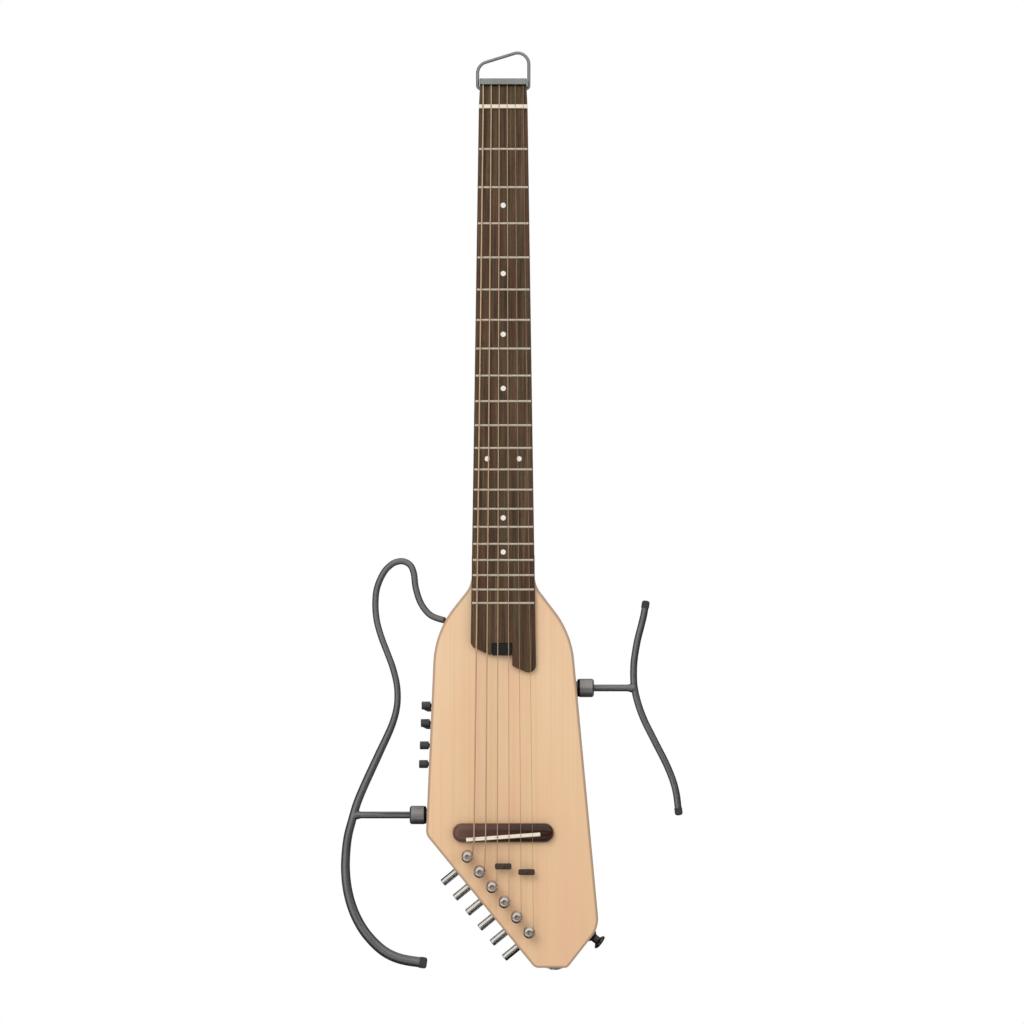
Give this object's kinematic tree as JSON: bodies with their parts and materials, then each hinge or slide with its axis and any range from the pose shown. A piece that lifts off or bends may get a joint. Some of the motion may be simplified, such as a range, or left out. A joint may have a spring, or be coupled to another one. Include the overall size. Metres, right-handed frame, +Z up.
{
  "type": "headless travel guitar",
  "caption": "Slim headless guitar with a hanging loop, geared tuners along a slanted lower edge and screw-on tube frames at both sides.",
  "frame": {"origin": "the highest point of the wire loop's inner side, where a hook carries the hanging guitar", "axes": "+Z up the neck as it hangs, +X to the right seen from the strings' side, +Y from the soundboard to the back"},
  "size_m": [0.3037, 0.0522, 0.8118],
  "materials": {
    "spruce_top": "satin clear lacquer over straight-grained spruce",
    "mahogany": "satin open-pore mahogany",
    "rosewood": "oiled rosewood with pale streaks",
    "bone": "polished bone substitute",
    "gunmetal": "satin gunmetal anodising",
    "nickel": "polished black nickel plate",
    "wound_string": "bronze winding over a steel core",
    "plain_string": "plain drawn steel wire",
    "steel": "bright steel",
    "battery_case": "plain painted steel case, average density of a dry battery",
    "black_plastic": "fine moulded texture",
    "circuit_board": "solder-masked glass fibre board",
    "pickup_brass": "braided brass foil",
    "rubber_cap": "matt rubber"
  },
  "bodies": {
    "guitar": {"soundboard": "spruce_top", "neck": "mahogany", "body_core": "mahogany", "back": "mahogany", "fingerboard": "rosewood", "bridge": "rosewood", "nut": "bone", "saddle": "bone", "head_plate": "gunmetal", "hanging_loop": "gunmetal", "string_guide_1": "gunmetal", "string_guide_2": "gunmetal", "lap_socket": "gunmetal", "arm_socket": "gunmetal", "tuner_housing_1": "nickel", "tuner_housing_2": "nickel", "tuner_housing_3": "nickel", "tuner_housing_4": "nickel", "tuner_housing_5": "nickel", "tuner_housing_6": "nickel", "output_jack": "nickel", "string_1": "wound_string", "string_2": "wound_string", "string_3": "wound_string", "string_4": "wound_string", "string_5": "plain_string", "string_6": "plain_string", "truss_rod": "steel", "battery": "battery_case", "truss_rod_cover": "black_plastic", "back_cover": "black_plastic", "control_panel": "black_plastic", "strap_button": "black_plastic", "circuit_card": "circuit_board", "saddle_pickup": "pickup_brass"},
    "lap_frame": {"lap_frame": "gunmetal", "lap_frame_cap": "rubber_cap"},
    "lap_collar": {"lap_collar": "gunmetal"},
    "arm_frame": {"arm_frame": "gunmetal", "arm_frame_lower_cap": "rubber_cap", "arm_frame_upper_cap": "rubber_cap"},
    "arm_collar": {"arm_collar": "gunmetal"},
    "tuner_key_1": {"tuner_key_1": "nickel"},
    "tuner_post_1": {"tuner_post_1": "nickel"},
    "tuner_key_2": {"tuner_key_2": "nickel"},
    "tuner_post_2": {"tuner_post_2": "nickel"},
    "tuner_key_3": {"tuner_key_3": "nickel"},
    "tuner_post_3": {"tuner_post_3": "nickel"},
    "tuner_key_4": {"tuner_key_4": "nickel"},
    "tuner_post_4": {"tuner_post_4": "nickel"},
    "tuner_key_5": {"tuner_key_5": "nickel"},
    "tuner_post_5": {"tuner_post_5": "nickel"},
    "tuner_key_6": {"tuner_key_6": "nickel"},
    "tuner_post_6": {"tuner_post_6": "nickel"},
    "control_knob_1": {"control_knob_1": "black_plastic"},
    "control_knob_2": {"control_knob_2": "black_plastic"},
    "control_knob_3": {"control_knob_3": "black_plastic"},
    "control_knob_4": {"control_knob_4": "black_plastic"},
    "battery_door": {"battery_door": "black_plastic"},
    "truss_rod_nut": {"truss_rod_nut": "steel"}
  },
  "joints": [
    {"name": "lap_frame_slide", "type": "slide", "parent": "guitar", "child": "lap_frame", "axis": [-1, 0, 0], "range_m": [0, 0.04]},
    {"name": "lap_collar_turn", "type": "hinge", "parent": "lap_frame", "child": "lap_collar", "pos_m": [-0.088, 0.016, -0.6724], "axis": [-1, 0, 0], "continuous": true},
    {"name": "arm_frame_slide", "type": "slide", "parent": "guitar", "child": "arm_frame", "axis": [1, 0, 0], "range_m": [0, 0.04]},
    {"name": "arm_collar_turn", "type": "hinge", "parent": "arm_frame", "child": "arm_collar", "pos_m": [0.06, 0.016, -0.55971], "axis": [1, 0, 0], "continuous": true},
    {"name": "tuner_key_turn_1", "type": "hinge", "parent": "guitar", "child": "tuner_key_1", "pos_m": [-0.04036, 0.0158, -0.71134], "axis": [-0.7742, 0, -0.633], "continuous": true},
    {"name": "tuner_post_turn_1", "type": "hinge", "parent": "guitar", "child": "tuner_post_1", "pos_m": [-0.04419, 0, -0.70665], "axis": [0, 1, 0], "continuous": true},
    {"name": "tuner_key_turn_2", "type": "hinge", "parent": "guitar", "child": "tuner_key_2", "pos_m": [-0.02947, 0.0158, -0.72465], "axis": [-0.7742, 0, -0.633], "continuous": true},
    {"name": "tuner_post_turn_2", "type": "hinge", "parent": "guitar", "child": "tuner_post_2", "pos_m": [-0.03331, 0, -0.71996], "axis": [0, 1, 0], "continuous": true},
    {"name": "tuner_key_turn_3", "type": "hinge", "parent": "guitar", "child": "tuner_key_3", "pos_m": [-0.01858, 0.0158, -0.73797], "axis": [-0.7742, 0, -0.633], "continuous": true},
    {"name": "tuner_post_turn_3", "type": "hinge", "parent": "guitar", "child": "tuner_post_3", "pos_m": [-0.02242, 0, -0.73328], "axis": [0, 1, 0], "continuous": true},
    {"name": "tuner_key_turn_4", "type": "hinge", "parent": "guitar", "child": "tuner_key_4", "pos_m": [-0.0077, 0.0158, -0.75128], "axis": [-0.7742, 0, -0.633], "continuous": true},
    {"name": "tuner_post_turn_4", "type": "hinge", "parent": "guitar", "child": "tuner_post_4", "pos_m": [-0.01153, 0, -0.7466], "axis": [0, 1, 0], "continuous": true},
    {"name": "tuner_key_turn_5", "type": "hinge", "parent": "guitar", "child": "tuner_key_5", "pos_m": [0.00319, 0.0158, -0.7646], "axis": [-0.7742, 0, -0.633], "continuous": true},
    {"name": "tuner_post_turn_5", "type": "hinge", "parent": "guitar", "child": "tuner_post_5", "pos_m": [-0.00064, 0, -0.75991], "axis": [0, 1, 0], "continuous": true},
    {"name": "tuner_key_turn_6", "type": "hinge", "parent": "guitar", "child": "tuner_key_6", "pos_m": [0.01408, 0.0158, -0.77792], "axis": [-0.7742, 0, -0.633], "continuous": true},
    {"name": "tuner_post_turn_6", "type": "hinge", "parent": "guitar", "child": "tuner_post_6", "pos_m": [0.01025, 0, -0.77323], "axis": [0, 1, 0], "continuous": true},
    {"name": "control_knob_turn_1", "type": "hinge", "parent": "guitar", "child": "control_knob_1", "pos_m": [-0.07593, 0.016, -0.5753], "axis": [-1, 0, 0], "range_deg": [-140, 140]},
    {"name": "control_knob_turn_2", "type": "hinge", "parent": "guitar", "child": "control_knob_2", "pos_m": [-0.0766, 0.016, -0.59082], "axis": [-1, 0, 0], "range_deg": [-140, 140]},
    {"name": "control_knob_turn_3", "type": "hinge", "parent": "guitar", "child": "control_knob_3", "pos_m": [-0.07745, 0.016, -0.6106], "axis": [-1, 0, 0], "range_deg": [-140, 140]},
    {"name": "control_knob_turn_4", "type": "hinge", "parent": "guitar", "child": "control_knob_4", "pos_m": [-0.07817, 0.016, -0.62721], "axis": [-1, 0, 0], "range_deg": [-140, 140]},
    {"name": "battery_door_hinge", "type": "hinge", "parent": "guitar", "child": "battery_door", "pos_m": [0.01115, 0.03465, -0.57926], "axis": [1, 0, 0], "range_deg": [0, 100]},
    {"name": "truss_rod_nut_turn", "type": "hinge", "parent": "guitar", "child": "truss_rod_nut", "pos_m": [-0.0126, 0.0031, -0.49651], "axis": [0, 0, 1], "range_deg": [-180, 180]}
  ],
  "couplings": [
    {"joint": "tuner_post_turn_1", "follows": "tuner_key_turn_1", "ratio": -0.071429},
    {"joint": "tuner_post_turn_2", "follows": "tuner_key_turn_2", "ratio": -0.071429},
    {"joint": "tuner_post_turn_3", "follows": "tuner_key_turn_3", "ratio": -0.071429},
    {"joint": "tuner_post_turn_4", "follows": "tuner_key_turn_4", "ratio": -0.071429},
    {"joint": "tuner_post_turn_5", "follows": "tuner_key_turn_5", "ratio": -0.071429},
    {"joint": "tuner_post_turn_6", "follows": "tuner_key_turn_6", "ratio": -0.071429}
  ]
}
